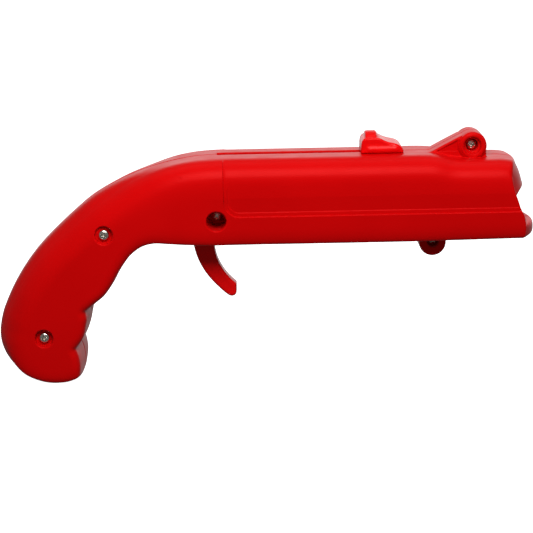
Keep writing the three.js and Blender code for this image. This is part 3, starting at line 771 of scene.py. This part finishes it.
EVEN = (1, 1, 1)
MATERIALS = {  # darkest and lightest colour, roughness, then the reflection's tint or the grain's stretch
    "red_shell": red_plastic(
        "red_abs", (0.60, 0.0014, 0.0018), (0.64, 0.0018, 0.0022), (0.3, 0.38), (1, 0.1, 0.1)
    ),
    "red_inner": red_plastic(
        "red_inner_plastic", (0.42, 0.003, 0.003), (0.5, 0.004, 0.004), (0.4, 0.5), (1, 0.2, 0.2)
    ),
    "screw_steel": metal("zinc_plate", (0.72, 0.68, 0.6), (0.88, 0.84, 0.75), (0.14, 0.26), EVEN, 900),
    "spring_steel": metal(
        "spring_wire", (0.45, 0.45, 0.46), (0.62, 0.62, 0.63), (0.22, 0.38), EVEN, 1500
    ),
    "plate_steel": metal(
        "rolled_sheet", (0.5, 0.5, 0.51), (0.64, 0.64, 0.65), (0.25, 0.42), (1, 25, 1), 120
    ),
    "bumper_rubber": rubber("bumper_rubber"),
}
# A lighter copy of the shell's red, as painted light for the knob and the trigger, which catch more light
# than the shell
PAINTED_LIGHT_RED = red_plastic(
    "red_abs_painted_light", (0.78, 0.002, 0.0025), (0.82, 0.0024, 0.003), (0.2, 0.28), (1, 0.4, 0.4)
)
HANDLED = ("cocking_knob", "trigger")  # the knob and the trigger; their lighter copy of the shell's red is painted light, standing in for the stronger light on them
SLOT_OF = {row["node"]: row["material_slot"] for row in frame["record"]["subparts"]}
BODY_OF = {
    node: body_name
    for body_name, nodes in frame["record"]["behaviour"]["bodies"].items()
    for node in nodes
}


def finish_piece(obj, node, drawn=True):
    """Gives a piece its material, body and slot in the node's place. A drawn piece stands above the datum."""
    if drawn:
        obj.data.transform(Matrix.Translation((0, 0, -DATUM_Z * MM)))
    obj.data.materials.clear()
    obj.data.materials.append(PAINTED_LIGHT_RED if node in HANDLED else MATERIALS[SLOT_OF[node]])
    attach(obj, BODY_OF[node])
    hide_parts(node)
    return obj


# ---- pieces ----------------------------------------------------------------------------------
SHELL_PITCH = 0.3
SMALL_PITCH = 0.2
SHELL_FACES, SMALL_FACES, SCREW_FACES = 190_000, 60_000, 24_000
HANDLED_PAD = 1.6  # room round the CAD's knob and trigger
SCREW_PITCH = 0.08
SCREW_GAP = 0.03  # play under a screw's head


def span(node, pad=1.0):
    low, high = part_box(node)
    low, high = low / MM, high / MM
    low.z, high.z = low.z + DATUM_Z, high.z + DATUM_Z
    return [v - pad for v in low], [v + pad for v in high]


for node, side in (("right_shell", -1), ("left_shell", 1)):
    low, high = span(node)
    finish_piece(carve(node + "_moulding", shell_field(side), low, high, SHELL_PITCH, SHELL_FACES), node)
for node, field in zip(HANDLED, (knob_field, trigger_field)):
    low, high = span(node, HANDLED_PAD)
    finish_piece(carve(node + "_moulding", field, low, high, SMALL_PITCH, SMALL_FACES, 0.06), node)

for k, (node, (cx, cz, seat, end, _, _)) in enumerate(SCREWS.items()):
    length = seat + end
    field = screw_field(length, 0.35 + 0.9 * k)
    low, high = (-2.1, -2.1, -length - 0.3), (2.1, 2.1, HEAD_T + 0.3)
    obj = carve(node + "_threaded", field, low, high, SCREW_PITCH, SCREW_FACES, 0.03)
    turn = Matrix.Rotation(math.pi / 2, 4, "X")
    obj.data.transform(Matrix.Translation((cx * MM, (-seat - SCREW_GAP) * MM, cz * MM)) @ turn)
    finish_piece(obj, node)

coil_low, coil_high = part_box("mainspring")
main_path = [
    (coil_low.x / MM + w, u, (coil_low.z + coil_high.z) / 2 / MM + v)
    for u, v, w in helix(3.0, 0.45, 16, (coil_high.x - coil_low.x) / MM, 20)
]
mainspring = finish_piece(tube("mainspring_wire", main_path, 0.45, 10), "mainspring", False)
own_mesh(mainspring)

coil_low, coil_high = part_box("trigger_spring")
centre = (coil_low + coil_high) / 2 / MM
return_path = [
    (centre.x + u, centre.y + v, coil_low.z / MM + w)
    for u, v, w in helix(1.7, 0.3, 4, (coil_high.z - coil_low.z) / MM, 18)
]
return_spring = finish_piece(tube("trigger_spring_wire", return_path, 0.3, 8), "trigger_spring", False)
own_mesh(return_spring)

for node, obj in frame["nodes"].items():
    if not obj.hide_render:
        obj.data.materials.clear()
        obj.data.materials.append(MATERIALS[SLOT_OF[node]])

# ---- stage -----------------------------------------------------------------------------------
floor_mesh = bpy.data.meshes.new("floor")
reach = 6.0
corners = [(-reach, -reach, 0), (reach, -reach, 0), (reach, reach, 0), (-reach, reach, 0)]
floor_mesh.from_pydata(corners, [], [(0, 1, 2, 3)])
floor = bpy.data.objects.new("floor", floor_mesh)
bpy.context.scene.collection.objects.link(floor)
floor.location.z = cad_box[0].z - 0.0002
floor.visible_diffuse = False
floor.visible_glossy = False
ground = Nodes("pale_floor")
ground.set(Roughness=0.9, Emission_Color=(1, 1, 1, 1), Emission_Strength=1.1)
pale = ground.ramp(ground.noise(3, 2), [(0.3, (0.86, 0.86, 0.86)), (0.7, (0.9, 0.9, 0.9))])
ground.link(pale, ground.surface.inputs["Base Color"])
floor_mesh.materials.append(ground.material)


def area_light(name, place, aim, size, power):
    data = bpy.data.lights.new(name, "AREA")
    data.shape = "RECTANGLE"
    data.size, data.size_y = size
    data.energy = power
    obj = bpy.data.objects.new(name, data)
    bpy.context.scene.collection.objects.link(obj)
    obj.location = place
    obj.rotation_euler = (Vector(aim) - Vector(place)).to_track_quat("-Z", "Y").to_euler()
    return obj


area_light("key", (0.012, -0.325, 0.385), (0, 0, 0.06), (0.32, 0.2), 2.2)
area_light("top", (0, 0.02, 0.6), (0, 0, 0.08), (0.7, 0.4), 0.55)

world = bpy.data.worlds.new("studio")
bpy.context.scene.world = world
world.use_nodes = True
sky = world.node_tree
facing = sky.nodes.new("ShaderNodeTexCoord").outputs["Generated"]
parts = sky.nodes.new("ShaderNodeSeparateXYZ")
sky.links.new(facing, parts.inputs["Vector"])


def sky_ramp(value, frm, to):
    node = sky.nodes.new("ShaderNodeMapRange")
    node.interpolation_type = "SMOOTHSTEP"
    node.inputs["From Min"].default_value, node.inputs["From Max"].default_value = frm
    node.inputs["To Min"].default_value, node.inputs["To Max"].default_value = to
    sky.links.new(value, node.inputs["Value"])
    return node.outputs["Result"]


def sky_product(*values):
    out = values[0]
    for value in values[1:]:
        node = sky.nodes.new("ShaderNodeMath")
        node.operation = "MULTIPLY"
        sky.links.new(out, node.inputs[0])
        sky.links.new(value, node.inputs[1])
        out = node.outputs[0]
    return out


lean = sky.nodes.new("ShaderNodeMath")
lean.operation = "MULTIPLY_ADD"
lean.inputs[1].default_value = 0.12
sky.links.new(parts.outputs["X"], lean.inputs[0])
sky.links.new(parts.outputs["Y"], lean.inputs[2])
behind = sky_ramp(lean.outputs[0], (0.78, 0.92), (0.03, 1))
raised = sky_ramp(parts.outputs["Z"], (-0.3, 0.0), (0.3, 1))
total = sky.nodes.new("ShaderNodeMath")
total.operation = "ADD"
total.inputs[1].default_value = 0.12
sky.links.new(sky_product(behind, raised), total.inputs[0])
sky.links.new(total.outputs[0], sky.nodes["Background"].inputs["Strength"])
sky.nodes["Background"].inputs["Color"].default_value = (1, 1, 1, 1)

# ---- camera ----------------------------------------------------------------------------------
elevation, roll, distance = math.radians(14), math.radians(1.15), 0.55
target = Vector((0.0008, 0, 0.0426 - DATUM_Z * MM))
back = Vector((0, -math.cos(elevation), math.sin(elevation)))
camera_data = bpy.data.cameras.new("camera")
camera_data.lens = 103.6
camera_data.sensor_width = 36
camera_data.clip_start, camera_data.clip_end = 0.01, 50
camera = bpy.data.objects.new("camera", camera_data)
bpy.context.scene.collection.objects.link(camera)
facing = (-back).to_track_quat("-Z", "Y").to_matrix().to_4x4()
camera.matrix_world = Matrix.Translation(target + back * distance) @ facing @ Matrix.Rotation(-roll, 4, "Z")
bpy.context.scene.camera = camera
bpy.context.scene.view_settings.view_transform = "Standard"
